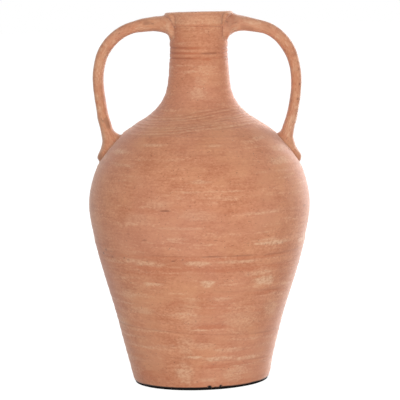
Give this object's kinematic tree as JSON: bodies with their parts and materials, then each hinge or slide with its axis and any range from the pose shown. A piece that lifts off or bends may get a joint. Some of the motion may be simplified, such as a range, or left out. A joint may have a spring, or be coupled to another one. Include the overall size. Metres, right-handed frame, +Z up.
{
  "type": "amphora",
  "caption": "Tall terracotta vase with a swelling body, narrow neck, rolled lip, opposed strap handles and a thin base pad.",
  "frame": {"origin": "middle of the base pad's flat underside", "axes": "+Z up; the handles lie along X, and the pot's axis leans slightly towards +X"},
  "size_m": [0.2986, 0.2986, 0.5],
  "materials": {
    "terracotta": "matte unglazed, finely ridged",
    "pad": "matte black"
  },
  "bodies": {
    "root": {"base_pad": "pad", "lower_body": "terracotta", "upper_body": "terracotta", "neck": "terracotta", "rim_collar": "terracotta", "handle_left": "terracotta", "handle_right": "terracotta", "root_coil_upper_left": "terracotta", "root_coil_upper_right": "terracotta", "root_coil_lower_left": "terracotta", "root_coil_lower_right": "terracotta"}
  },
  "joints": []
}
